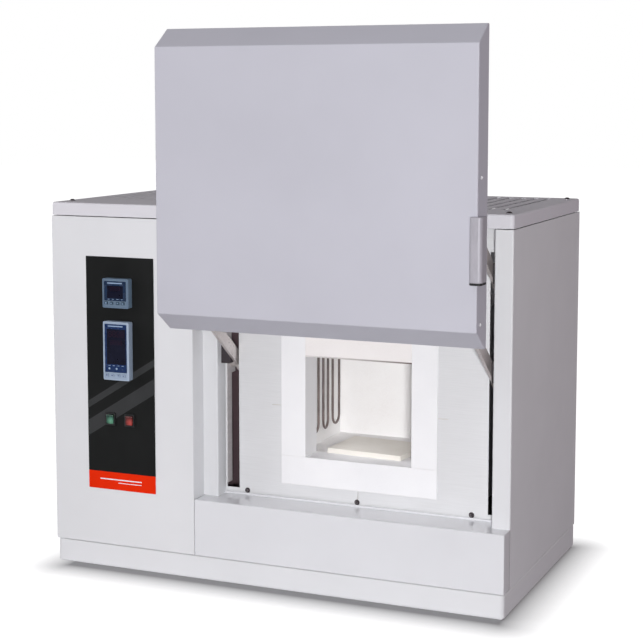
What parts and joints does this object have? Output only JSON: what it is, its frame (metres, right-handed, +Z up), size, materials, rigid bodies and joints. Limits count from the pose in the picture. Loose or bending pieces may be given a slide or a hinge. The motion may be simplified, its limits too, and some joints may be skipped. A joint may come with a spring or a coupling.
{
  "type": "chamber furnace",
  "caption": "Bench-top high-temperature chamber furnace, a small kiln, with a raised parallel-arm lift door, white fibre insulation, hanging heating elements and a control column.",
  "frame": {"origin": "centre of the base's footprint, on the surface that the furnace stands on", "axes": "+Z up; the door and the control panel face -Y; +X is to the right seen from the front"},
  "size_m": [0.783, 0.583, 0.8795],
  "materials": {
    "cabinet_paint": "light grey textured powder coat",
    "lid_paint": "mid grey textured powder coat",
    "door_paint": "cool grey satin powder coat",
    "sill_paint": "smooth glossy light grey coat",
    "stainless_sheet": "brushed stainless steel",
    "galvanised_sheet": "zinc-coated sheet steel",
    "plated_steel": "bright zinc-plated steel",
    "blackened_steel": "black oxide steel",
    "overlay_film": "black printed film, satin",
    "limiter_plastic": "blue-grey moulded plastic",
    "controller_plastic": "light blue-grey moulded plastic",
    "display_lens": "dark tinted clear plastic",
    "key_plastic": "light keys",
    "black_plastic": "black moulded plastic",
    "green_lens": "green translucent push cap",
    "red_lens": "red translucent push cap",
    "fibre_board": "vacuum-formed white ceramic fibre board",
    "element_ceramic": "grey molybdenum disilicide rod",
    "holder_ceramic": "unglazed cream ceramic",
    "setter_ceramic": "unglazed alumina tile",
    "aluminium_strap": "plain aluminium",
    "grip_metal": "satin anodised aluminium",
    "transformer_body": "varnished core and taped windings",
    "heat_sink": "anodised finned extrusion",
    "device_plastic": "light grey device housings",
    "guide_plastic": "dark slide blocks",
    "rivet_plastic": "white caps"
  },
  "bodies": {
    "cabinet": {"base_tray": "cabinet_paint", "side_panel_left": "cabinet_paint", "side_panel_right": "cabinet_paint", "rear_panel": "cabinet_paint", "column_front": "cabinet_paint", "recess_cheek": "cabinet_paint", "lid": "lid_paint", "sill_cover": "sill_paint", "front_plate": "stainless_sheet", "partition_wall": "galvanised_sheet", "furnace_casing": "galvanised_sheet", "support_frame": "galvanised_sheet", "pivot_rails": "galvanised_sheet", "pivot_pins": "plated_steel", "lid_screws": "blackened_steel", "front_plate_bolts": "blackened_steel", "overlay_panel": "overlay_film", "limiter_case": "limiter_plastic", "controller_case": "controller_plastic", "limiter_window": "display_lens", "controller_window": "display_lens", "button_frames": "black_plastic", "cable_gland": "black_plastic", "collar_sides": "fibre_board", "collar_bottom": "fibre_board", "collar_lintel": "fibre_board", "chamber_floor": "fibre_board", "chamber_walls": "fibre_board", "chamber_roof": "fibre_board", "backing_boards": "fibre_board", "heating_elements": "element_ceramic", "element_holders": "holder_ceramic", "thermocouple": "holder_ceramic", "setter_plate": "setter_ceramic", "terminal_straps": "aluminium_strap", "transformer": "transformer_body", "power_controller": "heat_sink", "contactor": "device_plastic", "arm_guides": "guide_plastic"},
    "lower_arms": {"arm_lower_left": "plated_steel", "arm_lower_right": "plated_steel"},
    "upper_arms": {"arm_upper_left": "plated_steel", "arm_upper_right": "plated_steel"},
    "door": {"door_shell": "door_paint", "door_back_plate": "stainless_sheet", "door_insulation": "fibre_board", "door_grip": "grip_metal", "door_rivets": "rivet_plastic", "door_brackets": "plated_steel", "door_pins": "plated_steel"},
    "limiter_key_1": {"limiter_key_1": "key_plastic"},
    "limiter_key_2": {"limiter_key_2": "key_plastic"},
    "limiter_key_3": {"limiter_key_3": "key_plastic"},
    "limiter_key_4": {"limiter_key_4": "key_plastic"},
    "controller_key_1": {"controller_key_1": "key_plastic"},
    "controller_key_2": {"controller_key_2": "key_plastic"},
    "controller_key_3": {"controller_key_3": "key_plastic"},
    "controller_key_4": {"controller_key_4": "key_plastic"},
    "green_button": {"green_button": "green_lens"},
    "red_button": {"red_button": "red_lens"}
  },
  "joints": [
    {"name": "door_lift", "type": "hinge", "parent": "cabinet", "child": "lower_arms", "pos_m": [0, -0.13, 0.345], "axis": [1, 0, 0], "range_deg": [0, 116]},
    {"name": "door_level", "type": "hinge", "parent": "lower_arms", "child": "door", "pos_m": [0, -0.27263, 0.45643], "axis": [1, 0, 0], "range_deg": [-116, 0]},
    {"name": "upper_arm_swing", "type": "hinge", "parent": "cabinet", "child": "upper_arms", "pos_m": [0, -0.13, 0.495], "axis": [1, 0, 0], "range_deg": [0, 116]},
    {"name": "limiter_key_1_press", "type": "slide", "parent": "cabinet", "child": "limiter_key_1", "axis": [0, 1, 0], "range_m": [0, 0.0008], "stiffness_N_per_m": 1200},
    {"name": "limiter_key_2_press", "type": "slide", "parent": "cabinet", "child": "limiter_key_2", "axis": [0, 1, 0], "range_m": [0, 0.0008], "stiffness_N_per_m": 1200},
    {"name": "limiter_key_3_press", "type": "slide", "parent": "cabinet", "child": "limiter_key_3", "axis": [0, 1, 0], "range_m": [0, 0.0008], "stiffness_N_per_m": 1200},
    {"name": "limiter_key_4_press", "type": "slide", "parent": "cabinet", "child": "limiter_key_4", "axis": [0, 1, 0], "range_m": [0, 0.0008], "stiffness_N_per_m": 1200},
    {"name": "controller_key_1_press", "type": "slide", "parent": "cabinet", "child": "controller_key_1", "axis": [0, 1, 0], "range_m": [0, 0.0008], "stiffness_N_per_m": 1200},
    {"name": "controller_key_2_press", "type": "slide", "parent": "cabinet", "child": "controller_key_2", "axis": [0, 1, 0], "range_m": [0, 0.0008], "stiffness_N_per_m": 1200},
    {"name": "controller_key_3_press", "type": "slide", "parent": "cabinet", "child": "controller_key_3", "axis": [0, 1, 0], "range_m": [0, 0.0008], "stiffness_N_per_m": 1200},
    {"name": "controller_key_4_press", "type": "slide", "parent": "cabinet", "child": "controller_key_4", "axis": [0, 1, 0], "range_m": [0, 0.0008], "stiffness_N_per_m": 1200},
    {"name": "green_button_press", "type": "slide", "parent": "cabinet", "child": "green_button", "axis": [0, 1, 0], "range_m": [0, 0.0025], "stiffness_N_per_m": 1200},
    {"name": "red_button_press", "type": "slide", "parent": "cabinet", "child": "red_button", "axis": [0, 1, 0], "range_m": [0, 0.0025], "stiffness_N_per_m": 1200}
  ],
  "couplings": [
    {"joint": "door_level", "follows": "door_lift", "ratio": -1},
    {"joint": "upper_arm_swing", "follows": "door_lift", "ratio": 1}
  ]
}
